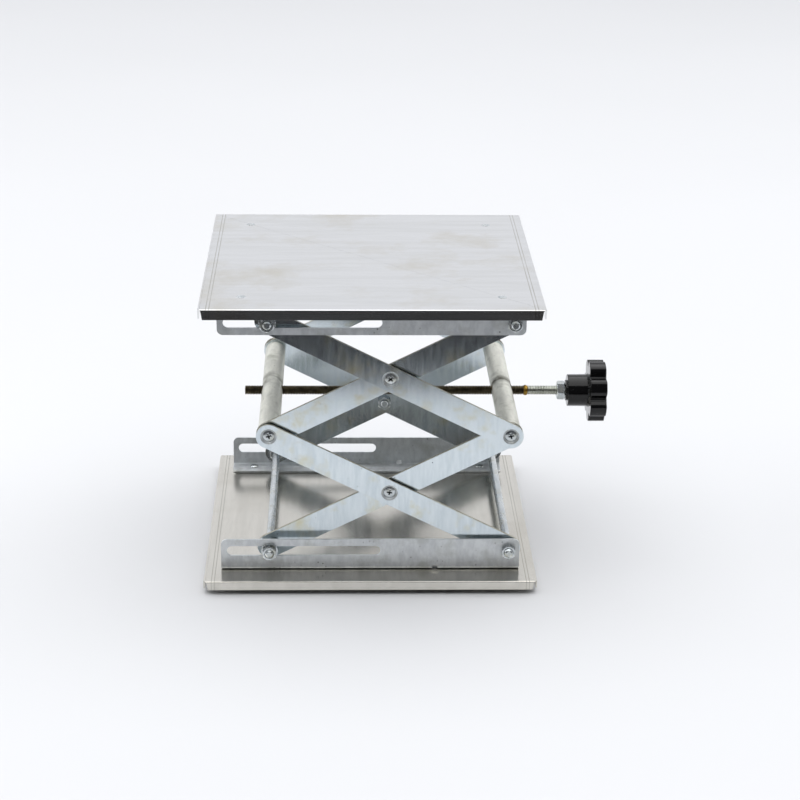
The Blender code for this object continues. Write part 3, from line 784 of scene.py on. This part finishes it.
base_sheet = folded_plate("base_plate", BASE_STEEL)
top_sheet = folded_plate("top_plate", TOP_STEEL)
print("plates:", len(base_sheet.data.polygons), len(top_sheet.data.polygons), "faces")

# %% [markdown]
# ## Slotted rails
#
# A rail is a strip folded to an L: the foot is riveted to its plate, and the upright carries a
# long slot for the sliding axle and one round hole for the fixed one. A pressed gusset across the
# fold stiffens it. The strip is folded first and punched after, so the slot's edge stays square.

# %% Punch and press tools
PUNCH_LONG = 20 * MM
PIN_HOLE = 2.8 * MM
SLOT_HALF = 3.1 * MM
SLOT_ENDS = (-83.4 * MM, 3.0 * MM)
GUSSET = {"front": 39 * MM, "back": 21.8 * MM}
GUSSET_SIZE = (3.4 * MM, 3.2 * MM, 3.2 * MM)
GUSSET_WALL = 1.0 * MM


def slot_punch(y, z):
    """A long cutter with round ends: a drum with one half of its points moved away."""
    first, last = SLOT_ENDS
    tool = drum("slot_punch", SLOT_HALF, PUNCH_LONG, (first, y, z), "Y")
    pick(tool, lambda place, normal: place.x > first - NEAR, "VERT")
    bpy.ops.transform.translate(value=(last - first, 0, 0))
    done()
    return tool


def press_gusset(piece, corner, side, up):
    """A small block turned by 45 degrees stands across the fold, dented from the back."""
    press = block("gusset", GUSSET_SIZE, corner)
    select_points(press)
    bpy.ops.transform.rotate(value=math.pi / 4, orient_axis="X", center_override=corner)
    done()
    dent = copied(press, "dent", (0, side * GUSSET_WALL, -up * GUSSET_WALL))
    carve(piece, press, "UNION")
    carve(piece, dent)


print("slot from x", SLOT_ENDS[0], "to", SLOT_ENDS[1])

# %% The four rails
RAIL_SHEET = 1.2 * MM
RAIL_ROUND = 3.5 * MM
RAIL_FOLD = 1.9 * MM


def rail(node, side, up, gusset):
    low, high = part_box(node)
    face = side * -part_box("base_rail_front")[0].y
    foot, tip = (low.z, high.z) if up > 0 else (high.z, low.z)
    size = (high.x - low.x, high.z - low.z)
    upright = (math.pi / 2, 0, 0)
    piece = flat(node + "_strip", size, (0, face, (low.z + high.z) / 2), upright)
    pick(piece, lambda place, direction: abs(place.z - foot) < NEAR, "EDGE")
    foot_width = high.y - low.y
    bpy.ops.mesh.extrude_region_move(
        TRANSFORM_OT_translate={"value": (0, -side * foot_width, 0)}
    )
    done()
    far = face - side * foot_width
    pick(
        piece,
        lambda place, normal: abs(place.z - tip) < NEAR or abs(place.y - far) < NEAR,
        "VERT",
    )
    bpy.ops.mesh.bevel(offset=RAIL_ROUND, segments=6, affect="VERTICES")
    done()
    pick(
        piece,
        lambda place, direction: abs(place.z - foot) < NEAR and abs(place.y - face) < NEAR,
        "EDGE",
    )
    bpy.ops.mesh.bevel(offset=RAIL_FOLD, segments=5, affect="EDGES")
    done()
    clean(piece)
    outwards = piece.data.polygons[0].normal.y * side
    modify(piece, "SOLIDIFY", thickness=RAIL_SHEET, offset=-1 if outwards > 0 else 1)
    clean(piece)
    pin = LOW if up > 0 else HIGH
    carve(piece, slot_punch(face, pin))
    carve(piece, drum("pin_punch", PIN_HOLE, PUNCH_LONG, (FIXED, face, pin), "Y"))
    corner = (gusset, face - side * RAIL_SHEET, foot + up * RAIL_SHEET)
    press_gusset(piece, corner, side, up)
    round_edges(piece, 0.15 * MM, 2, 40)
    return fit(smooth(piece, 32), node, RAIL_ZINC)


for place_name, side in SIDES:
    rail("base_rail_" + place_name, side, 1, GUSSET[place_name])
    rail("top_rail_" + place_name, side, -1, GUSSET[place_name])
print("rails punched and folded")

# %% [markdown]
# ## Arms
#
# An arm is a flat strip with round ends. The outer ones have two dimples pressed inwards, so the
# countersunk screws sit flush and the pressed bosses keep the crossing arms apart. A drum with
# half of its points moved along makes the strip, and turned tools press the dimples.

# %% Outer and inner arm, modelled once each along X
ARM_HALF = 7.5 * MM
ARM_SHEET = 2.0 * MM
DIMPLE = 4.8 * MM
SCREW_HOLE = 2.7 * MM
BOSS = 0.9 * MM


def strip(name):
    """A stadium strip from the first hole at 0 to the last at PITCH, its outer face at -Y."""
    piece = drum(name, ARM_HALF, ARM_SHEET, (0, 0, 0), "Y", 72)
    pick(piece, lambda place, normal: place.x > -NEAR, "VERT")
    bpy.ops.transform.translate(value=(PITCH, 0, 0))
    done()
    return piece


TO_FRONT = (math.pi / 2, 0, 0)
TO_BACK = (-math.pi / 2, 0, 0)
boss_rings = [(3.6 * MM, 0), (3.8 * MM, 0.2 * MM), (4.7 * MM, BOSS + 0.4 * MM)]
boss_master = stacked("boss_master", boss_rings)
press_rings = [(SCREW_HOLE, -9 * MM), (SCREW_HOLE, -2.0 * MM), (3.65 * MM, -1.0 * MM)]
press_rings += [(3.9 * MM, -0.72 * MM), (4.4 * MM, -0.32 * MM)]
press_rings += [(DIMPLE + 0.1 * MM, 0), (6.4 * MM, 1 * MM)]
press_master = stacked("press_master", press_rings)
outer_arm = strip("outer_arm")
face = -ARM_SHEET / 2
for x in (PITCH / 2, PITCH):
    carve(outer_arm, copied(boss_master, "boss", (x, -face + BOSS, 0), TO_FRONT), "UNION")
    carve(outer_arm, copied(press_master, "press", (x, face, 0), TO_FRONT))
drop(boss_master, press_master)
carve(outer_arm, drum("pin_drill", PIN_HOLE, PUNCH_LONG, (0, 0, 0), "Y"))
inner_arm = strip("inner_arm")
for x, radius in ((0, PIN_HOLE), (PITCH / 2, SCREW_HOLE), (PITCH, SCREW_HOLE)):
    carve(inner_arm, drum("drill", radius, PUNCH_LONG, (x, 0, 0), "Y"))
for arm in (outer_arm, inner_arm):
    round_edges(arm, 0.22 * MM, 3, 35)
depths = [point.co.y / MM for point in outer_arm.data.vertices]
print("outer arm runs from", round(min(depths), 2), "to", round(max(depths), 2), "mm")
print("arms:", len(outer_arm.data.polygons), len(inner_arm.data.polygons), "faces")

# %% [markdown]
# ## Arms in place
#
# The strip's flat faces are plated, its sheared rim is darker, and the pressed dimples are duller,
# because pressing roughens the zinc. The finish of each face follows from where it looks.

# %% Eight arms in place
ARMS = (
    ("lower_outer_arm", outer_arm, (FIXED, LOW), math.pi + TILT),
    ("upper_outer_arm", outer_arm, (SLIDE, HIGH), TILT),
    ("lower_inner_arm", inner_arm, (SLIDE, LOW), -TILT),
    ("upper_inner_arm", inner_arm, (FIXED, HIGH), math.pi - TILT),
)
pins = [Vector((x, 0, MID)) for x in (SLIDE, FIXED)]
pins += [Vector((CENTRE, 0, (pin + MID) / 2)) for pin in (LOW, HIGH)]
for name, master, (x, z), lean in ARMS:
    depth = OUTER_ARM_Y if master is outer_arm else INNER_ARM_Y
    for place_name, side in SIDES:
        flip = math.pi if side > 0 else 0.0
        node = f"{name}_{place_name}"
        piece = copied(master, node + "_strip", (x, side * depth, z), (flip, lean, 0))
        for finish in (ARM_ZINC, CUT_EDGE, PRESSED):
            piece.data.materials.append(finish)
        for facet in piece.data.polygons:
            slope = abs(facet.normal.y)
            rim = min((facet.center - Vector((at.x, facet.center.y, at.z))).length for at in pins)
            if slope < 0.1:
                facet.material_index = 1
            elif slope < 0.97 and rim < DIMPLE + 0.2 * MM:
                facet.material_index = 2
        fit(smooth(piece, 30), node, ARM_ZINC)
drop(outer_arm, inner_arm)
print("eight arms placed")

# %% [markdown]
# ## Cross bars
#
# The two bars carry the arms' middle joints and hold the lead screw. Each is a solid round with
# turned, chamfered ends, a tapped hole in each end, and a threaded hole across for the screw. On
# the knob's side the right bar has a recess that lets the brazed joint in at the lowest setting.

# %% Left and right bar
CROSS_HOLE = 3.2 * MM
RECESS, RECESS_BACK = 3.9 * MM, 0.6 * MM
TAPPED = 26 * MM


def cross_bar(node, x, recess):
    low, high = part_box(node)
    radius = (high.x - low.x) / 2
    half = high.y
    chamfer = 0.7 * MM
    rings = [(radius - chamfer, -half), (radius, -half + chamfer)]
    rings += [(radius, half - chamfer), (radius - chamfer, half)]
    master = stacked(node + "_master", rings, 80)
    piece = copied(master, node + "_round", (x, 0, MID), TO_FRONT)
    drop(master)
    carve(piece, drum("cross_drill", CROSS_HOLE, 40 * MM, (x, 0, MID), "X"))
    if recess:
        depth = radius + 2.5 * MM
        recess_place = (x + depth / 2 - RECESS_BACK, 0, MID)
        carve(piece, drum("recess_drill", RECESS, depth, recess_place, "X"))
    for side in (-1, 1):
        carve(piece, drum("tap_drill", SCREW_HOLE, TAPPED, (x, side * half, MID), "Y"))
    round_edges(piece, 0.2 * MM, 2, 40)
    return fit(smooth(piece, 30), node, BAR_STEEL)


cross_bar("left_nut_bar", SLIDE, False)
cross_bar("right_nut_bar", FIXED, True)
print("bars turned and drilled")

# %% [markdown]
# ## Crosshead screws
#
# Screws, nuts, washers, spacers and axles repeat all over the jack. Each is turned or cut once,
# lying along Z, and then copied to its places. The cross is two tapered wings, taken out one after
# the other and not quite of one size, so that no two cutting faces lie in the same plane.

# %% Countersunk screw with its cross
HEAD = 3.5 * MM
HEAD_SINK = 0.75 * MM
SHANK = 2.4 * MM
CROSS_DEEP, CROSS_WIDE = 1.65 * MM, 2.3 * MM
WINGS = ((4.3 * MM, 1.2 * MM, 3.2 * MM), (1.17 * MM, 4.33 * MM, 3.06 * MM))


def crosshead(name, length):
    rings = [(1.9 * MM, -length), (SHANK, -length + 0.5 * MM), (SHANK, -1.4 * MM)]
    rings += [(HEAD, -0.2 * MM), (HEAD, 0.0), (2.8 * MM, 0.3 * MM), (1.2 * MM, 0.45 * MM)]
    screw = stacked(name, rings)
    for size in WINGS:
        wing = block("cross_wing", size, (0.01 * MM, 0.02 * MM, 0))
        pick(wing, lambda place, normal: normal.z < -0.5)
        bpy.ops.transform.resize(value=(0.35, 0.35, 1))
        done()
        carve(screw, wing)
    round_edges(screw, 0.1 * MM, 2, 40)
    heights = [point.co.z / MM for point in screw.data.vertices]
    print(name, "runs from", round(min(heights), 2), "to", round(max(heights), 2), "mm")
    return smooth(screw, 32)


def shade_cross(screw):
    """A second, near-black finish on the faces down in the cross: painted shade for the deep
    recess.
    """
    screw.data.materials.append(BRIGHT_ZINC)
    screw.data.materials.append(CROSS_SHADE)
    for facet in screw.data.polygons:
        across = math.hypot(facet.center.x, facet.center.y)
        inside = -CROSS_DEEP < facet.center.z < 0.1 * MM and across < CROSS_WIDE
        facet.material_index = int(inside and facet.normal.z < 0.85)
    return screw


print("screw head", 2 * HEAD, "wide")

# %% Eight screws in place
centre_screw = shade_cross(crosshead("centre_screw", 8.8 * MM))
bar_screw = shade_cross(crosshead("bar_screw", 17.5 * MM))
CROSS_TURN = {"upper": math.radians(45), "lower": math.radians(8), "bar": math.radians(-14)}
SCREWS = [
    (f"{level}_centre_screw", centre_screw, CENTRE, (pin + MID) / 2, CROSS_TURN[level])
    for level, pin in LEVELS
]
SCREWS += [
    (f"{hand}_bar_screw", bar_screw, x, MID, CROSS_TURN["bar"])
    for hand, x in (("left", SLIDE), ("right", FIXED))
]
for name, master, x, z, turn in SCREWS:
    for place_name, side in SIDES:
        node = f"{name}_{place_name}"
        low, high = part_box(node)
        head_y, lay = (low.y + HEAD_SINK, TO_FRONT) if side < 0 else (high.y - HEAD_SINK, TO_BACK)
        piece = copied(master, node + "_crosshead", (x, head_y, z), (lay[0], turn, 0))
        fit(piece, node, BRIGHT_ZINC)
drop(centre_screw, bar_screw)
print("eight crosshead screws")

# %% [markdown]
# ## Hex nuts
#
# A hex nut's corners are cut back by a cone, which is done here by keeping only what a turned
# double cone shares with a six-sided drum. The bore is then drilled and sunk at both ends.

# %% Hex nuts
NUT_FLATS, NUT_HIGH, NUT_BORE = 8 * MM, 3.2 * MM, 2.55 * MM


def hex_nut(name, flats, height, bore, cone=0.55 * MM):
    corner = flats / 2 / math.cos(math.pi / 6)
    nut = drum(name, corner, height, (0, 0, 0), "Z", 6)
    touch = flats / 2 * 0.97
    rings = [(touch, -height / 2), (corner + 0.1 * MM, -height / 2 + cone)]
    rings += [(corner + 0.1 * MM, height / 2 - cone), (touch, height / 2)]
    carve(nut, stacked("nut_cone", rings, 72), "INTERSECT")
    carve(nut, drum("nut_drill", bore, 3 * height, (0, 0, 0), "Z", 48))
    for end in (-1, 1):
        lead_in = [(bore * 0.8, -0.7 * MM), (bore + 0.45 * MM, 0.1 * MM)]
        sink = stacked("nut_sink", lead_in)
        flip = (0, 0, 0) if end > 0 else (math.pi, 0, 0)
        carve(nut, copied(sink, "nut_sink_tool", (0, 0, end * height / 2), flip))
        drop(sink)
    round_edges(nut, 0.12 * MM, 2, 25)
    return smooth(nut, 28)


axle_nut = hex_nut("axle_nut", NUT_FLATS, NUT_HIGH, NUT_BORE)
for level, z in LEVELS:
    for kind, x in (("pivot", FIXED), ("slide", SLIDE)):
        for place_name, side in SIDES:
            node = f"{level}_{kind}_nut_{place_name}"
            nut = copied(axle_nut, node + "_hex", (x, middle(node).y, z), TO_FRONT)
            fit(nut, node, BRIGHT_ZINC)
for level, pin in LEVELS:
    for place_name, side in SIDES:
        node = f"{level}_centre_nut_{place_name}"
        place = (CENTRE, middle(node).y, (pin + MID) / 2)
        fit(copied(axle_nut, node + "_hex", place, TO_FRONT), node, BRIGHT_ZINC)
print("twelve hex nuts")

# %% [markdown]
# ## Washers, spacers and inner nuts
#
# The sliding nuts need washers, since a slot is wider than its axle. Spacers keep the inner arms
# off the rails, and a washer and nut on the inside of each arm hold it against them.

# %% Washers, spacers and the inner nuts
WASHER, WASHER_THICK = 5.1 * MM, 1.0 * MM
SPACER = 4.0 * MM
AXLE_BORE = 2.75 * MM


def ring(name, radius, bore, height):
    piece = drum(name, radius, height, (0, 0, 0), "Z", 64)
    carve(piece, drum("ring_drill", bore, 3 * height, (0, 0, 0), "Z", 64))
    round_edges(piece, 0.18 * MM, 3, 50)
    return smooth(piece, 35)


washer = ring("washer", WASHER, AXLE_BORE, WASHER_THICK)
low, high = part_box("upper_pivot_spacer_back")
spacer = ring("spacer", SPACER, AXLE_BORE, high.y - low.y)
for place_name, side in SIDES:
    for level, z in LEVELS:
        node = f"{level}_slide_washer_{place_name}"
        piece = copied(washer, node + "_disc", (SLIDE, middle(node).y, z), TO_FRONT)
        fit(piece, node, BRIGHT_ZINC)
    for node in (f"lower_slide_spacer_{place_name}", f"upper_pivot_spacer_{place_name}"):
        fit(copied(spacer, node + "_tube", middle(node), TO_FRONT), node, BRIGHT_ZINC)

DISC_AT, NUT_AT = 0.6 * MM, 2.75 * MM
INNER_STACKS = (
    ("lower_slide", (SLIDE, LOW), INNER_ARM_Y),
    ("upper_pivot", (FIXED, HIGH), INNER_ARM_Y),
    ("lower_pivot", (FIXED, LOW), OUTER_ARM_Y),
    ("upper_slide", (SLIDE, HIGH), OUTER_ARM_Y),
)
for name, (x, z), arm_y in INNER_STACKS:
    body = BODY[name + "_axle"]
    for place_name, side in SIDES:
        for master, gap, word in ((washer, DISC_AT, "disc"), (axle_nut, NUT_AT, "hex")):
            place = (x, side * (arm_y - ARM_SHEET / 2 - gap), z)
            piece = copied(master, f"{name}_inner_{word}_{place_name}", place, TO_FRONT)
            piece.data.materials.append(BRIGHT_ZINC)
            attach(piece, body)
drop(washer, spacer, axle_nut)
print("washers, spacers and inner nuts placed")

# %% [markdown]
# ## Axles
#
# The four axles are plain rods with a short thread rolled on each end for the nut. Rings of two
# radii, close together, read as that thread where the rod's end shows past its nut.

# %% Four axles
ROD = 2.5 * MM
THREADED = 6.4 * MM
TURN_STEP = 0.8 * MM


def axle_master(half):
    crest, valley = ROD - 0.02 * MM, ROD - 0.35 * MM
    rings = [(1.7 * MM, -half), (ROD - 0.25 * MM, -half + 0.4 * MM)]
    for turn in range(int(THREADED / TURN_STEP)):
        start = -half + 0.4 * MM + turn * TURN_STEP
        rings += [(crest, start + 0.3 * TURN_STEP), (valley, start + 0.8 * TURN_STEP)]
    rings.append((ROD, rings[-1][1] + 0.5 * MM))
    rings += [(radius, -height) for radius, height in reversed(rings)]
    return smooth(stacked("axle_master", rings, 40), 35)


axle = axle_master(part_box("lower_pivot_axle")[1].y)
for level, z in LEVELS:
    for kind, x in (("pivot", FIXED), ("slide", SLIDE)):
        node = f"{level}_{kind}_axle"
        fit(copied(axle, node + "_rod", (x, 0, z), TO_FRONT), node, BRIGHT_ZINC)
drop(axle)
print("four axles")

# %% [markdown]
# ## Rivets and pads
#
# Rivets hold the rails' feet to the plates. In the top plate they are hammered flush into a
# countersink, which leaves a fine ring. Under the base plate each one also holds a rubber pad.

# %% Flush and domed rivets
RIVET, RIVET_HIGH = 1.8 * MM, 0.9 * MM


def rivets():
    dome = 2.7 * MM
    crown = [(dome, 0), (dome * 0.93, 0.35 * MM), (dome * 0.72, 0.68 * MM)]
    crown.append((dome * 0.3, RIVET_HIGH))
    low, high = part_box("top_rivet_front_left")
    depth = high.z - low.z
    tail = [(radius, -height - (depth - RIVET_HIGH)) for radius, height in reversed(crown)]
    head = [(RIVET, -depth + 0.95 * MM), (RIVET, -0.3 * MM), (dome, -0.04 * MM)]
    head += [(dome, 0.05 * MM), (2.3 * MM, 0.12 * MM), (1.95 * MM, 0.02 * MM)]
    head.append((1.7 * MM, 0.12 * MM))
    flush = smooth(stacked("flush_rivet", tail + head), 30)
    shank = [(RIVET, -3.0 * MM), (RIVET, 0.0)]
    return flush, smooth(stacked("domed_rivet", shank + crown), 30)


flush_rivet, domed_rivet = rivets()
print("rivet faces:", len(flush_rivet.data.polygons), len(domed_rivet.data.polygons))

# %% Rivets and pads in place
PAD = 6.0 * MM
PAD_HOLLOW, HOLLOW_DEEP = 2.2 * MM, 1.6 * MM
pad_rings = [(PAD - 0.9 * MM, 0), (PAD - 0.2 * MM, 0.35 * MM), (PAD, 1.2 * MM), (PAD, 2.4 * MM)]
pad_rings += [(PAD - 0.5 * MM, 2.75 * MM)]
pad = stacked("pad", pad_rings)
carve(pad, drum("pad_hollow", PAD_HOLLOW, HOLLOW_DEEP))
round_edges(pad, 0.15 * MM, 2, 50)
smooth(pad, 35)
for place_name, side in SIDES:
    for hand in ("left", "right"):
        node = f"top_rivet_{place_name}_{hand}"
        spot = middle(node)
        spot.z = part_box(node)[1].z
        fit(copied(flush_rivet, node + "_head", spot), node, BRIGHT_ZINC)
        node = f"base_foot_{place_name}_{hand}"
        low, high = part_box(node)
        spot = (low + high) / 2
        fit(copied(pad, node + "_pad", (spot.x, spot.y, low.z)), node, RUBBER)
        rivet_name = node.replace("foot", "rivet") + "_head"
        rivet = copied(domed_rivet, rivet_name, (spot.x, spot.y, high.z - RIVET_HIGH))
        fit(rivet, node, BRIGHT_ZINC)
drop(flush_rivet, domed_rivet, pad)
print("rivets and pads placed")

# %% [markdown]
# ## Lead screw
#
# The screw pulls the two bars together, so it is cut left-hand on one half and right-hand on the
# other. One tooth is drawn as an edge loop, and the Screw modifier winds it along the axis. The
# ends of the winding are then cut flat and filled. A brazed bead joins it to the bright stud.

# %% Threads
CORE, STUD_CORE = 2.35 * MM, 2.5 * MM
CREST = 2.9 * MM
SCREW_PITCH = 1 * MM
THREAD_STEPS = 20
LEAD_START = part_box("lead_screw")[0].x
LEAD_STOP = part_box("lead_screw")[1].x
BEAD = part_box("braze_bead")


def thread(name, start, stop, core=CORE):
    """One tooth wound from start to stop along X, and cut flat at both ends."""
    tooth = (SCREW_PITCH, CREST - core)
    spot = (start - SCREW_PITCH / 2, 0, (core + CREST) / 2)
    piece = flat(name, tooth, spot, (math.pi / 2, 0, 0))
    pick(piece, lambda place, normal: True)
    bpy.ops.mesh.delete(type="ONLY_FACE")
    done()
    pick(piece, lambda place, direction: place.z < core + NEAR, "EDGE")
    bpy.ops.mesh.delete(type="EDGE")
    done()
    pick(piece, lambda place, direction: place.z > CREST - NEAR, "EDGE")
    bpy.ops.transform.resize(value=(0.25, 1, 1))
    done()
    turns = int((stop - start) / SCREW_PITCH) + 3
    modify(
        piece,
        "SCREW",
        axis="X",
        angle=2 * math.pi,
        screw_offset=SCREW_PITCH,
        iterations=turns,
        steps=THREAD_STEPS,
        render_steps=THREAD_STEPS,
        use_merge_vertices=True,
        use_smooth_shade=False,
    )
    clean(piece)
    for x, way in ((start, 1), (stop, -1)):
        pick(piece, lambda place, normal: True)
        bpy.ops.mesh.bisect(
            plane_co=(x, 0, 0), plane_no=(way, 0, 0), use_fill=True, clear_inner=True
        )
        done()
    clean(piece)
    return piece


def moved_up(piece):
    select_points(piece)
    bpy.ops.transform.translate(value=(0, 0, MID))
    done()
    return piece


right_hand = moved_up(thread("lead_screw_right_hand", CENTRE, BEAD[0].x + SCREW_PITCH))
left_hand = thread("lead_screw_left_hand", -CENTRE, -LEAD_START)
select_points(left_hand)
bpy.ops.transform.mirror(constraint_axis=(True, False, False), center_override=(0, 0, 0))
done()
moved_up(clean(left_hand))
for piece in (right_hand, left_hand):
    fit(smooth(piece, 25), "lead_screw", THREAD_STEEL)
stud_ends = (BEAD[1].x - SCREW_PITCH, LEAD_STOP - 2 * SCREW_PITCH)
stud = moved_up(thread("lead_screw_stud", *stud_ends, STUD_CORE))
fit(smooth(stud, 25), "lead_screw", STUD_STEEL)
print("thread faces:", len(right_hand.data.polygons), len(left_hand.data.polygons))

# %% [markdown]
# ## Brazed joint and lock nut
#
# Brazing leaves a lump with a soft, uneven skin, so the turned ring is smoothed by subdivision and
# displaced a little. The lock nut is the same kind of nut as the others, on the stud.

# %% Brazed bead and lock nut
LOCK_BORE, LOCK_CONE = 2.95 * MM, 0.8 * MM
low, high = BEAD
radius, width = (high.z - low.z) / 2, high.x - low.x
bead_rings = [(2.6 * MM, -width * 0.62), (radius - 0.25 * MM, -width * 0.45)]
bead_rings += [(radius, -width * 0.12), (radius - 0.05 * MM, width * 0.2)]
bead_rings += [(radius - 0.4 * MM, width * 0.46), (2.6 * MM, width * 0.6)]
bead_master = stacked("bead_master", bead_rings, 40)
modify(bead_master, "SUBSURF", levels=1, render_levels=1)
smooth_bead = copied(bead_master, "braze_bead_ring", (0, 0, 0), (0, math.pi / 2, 0))
lumps = bpy.data.textures.new("lumps", "CLOUDS")
lumps.noise_scale = 1.6 * MM
modify(smooth_bead, "DISPLACE", texture=lumps, strength=0.2 * MM, mid_level=0.5)
bead = copied(smooth_bead, "braze_bead_lumpy", ((low.x + high.x) / 2, 0, MID))
drop(bead_master, smooth_bead)
fit(smooth(bead, 60), "braze_bead", BRASS)

low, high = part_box("lock_nut")
lock_master = hex_nut("lock_master", high.y - low.y, high.x - low.x, LOCK_BORE, LOCK_CONE)
lock = copied(lock_master, "lock_nut_hex", middle("lock_nut"), (0, math.pi / 2, 0))
drop(lock_master)
fit(lock, "lock_nut", BRIGHT_ZINC)
print("bead and lock nut placed")

# %% [markdown]
# ## Star knob
#
# The knob is moulded resin: seven lobes with scooped notches, a round hub and a short neck. It
# starts as one drum whose side points are pulled in, ring by ring, where the notches are. The
# hub is joined on, and one bevel rounds every edge by the same small radius, as a mould does.

# %% Star of the knob
LOBES = 7
PER_LOBE = 24
STAR, NOTCH, STAR_THICK = 19.5 * MM, 4.2 * MM, 10.5 * MM
CROWN, CROWN_RIM = 0.5 * MM, 1.5 * MM
CAP, CAP_DEEP = 8.0 * MM, 1.0 * MM


def lobe_phase(place):
    """How far a point is from the middle of a lobe, in steps of the drum's sides."""
    angle = math.atan2(place.y, place.x) / (2 * math.pi / LOBES) % 1.0
    return round(min(angle, 1 - angle) * PER_LOBE)


star_place = (0, 0, -CROWN / 2)
star = drum("star", STAR, STAR_THICK - CROWN, star_place, "Z", LOBES * PER_LOBE)
for step in range(1, PER_LOBE // 2 + 1):
    scoop = (0.5 - 0.5 * math.cos(2 * math.pi * step / PER_LOBE)) ** 3
    pick(star, lambda place, normal, step=step: lobe_phase(place) == step, "VERT")
    ratio = 1 - NOTCH / STAR * scoop
    bpy.ops.transform.resize(value=(ratio, ratio, 1), center_override=(0, 0, 0))
    done()
pick(star, lambda place, normal: normal.z > 0.5)
bpy.ops.mesh.inset(thickness=CROWN_RIM)
bpy.ops.transform.translate(value=(0, 0, CROWN))
done()
carve(star, drum("cap_recess", CAP, CAP_DEEP, (0, 0, STAR_THICK / 2)))
print("star:", len(star.data.polygons), "faces")

# %% Hub, neck and bore
HUB, HUB_LONG = 10.0 * MM, 13.2 * MM
NECK, NECK_LONG = 6.5 * MM, 1.2 * MM
KNOB_BORE, BORE_LONG = 3.1 * MM, 30 * MM
KNOB_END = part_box("knob")[1].x
LOBE_ANGLE = math.radians(180 - 37.7)
back = -STAR_THICK / 2
hub_rings = [(NECK, back - HUB_LONG - NECK_LONG), (NECK, back - HUB_LONG), (HUB, back - HUB_LONG)]
hub_rings += [(HUB * 1.01, back - 1.0 * MM), (HUB * 1.1, back + 0.5 * MM)]
hub = stacked("hub", hub_rings, 84)
carve(star, hub, "UNION")
carve(star, drum("knob_bore", KNOB_BORE, BORE_LONG, (0, 0, back - HUB_LONG), "Z", 48))
round_edges(star, 0.6 * MM, 3, 38)
knob = copied(star, "knob_star", (KNOB_END - STAR_THICK / 2, 0, MID), (0, math.pi / 2, 0))
drop(star)
select_points(knob)
bpy.ops.transform.rotate(value=-LOBE_ANGLE, orient_axis="X", center_override=(0, 0, MID))
done()
fit(smooth(knob, 30), "knob", RESIN)
print("knob:", len(knob.data.polygons), "faces")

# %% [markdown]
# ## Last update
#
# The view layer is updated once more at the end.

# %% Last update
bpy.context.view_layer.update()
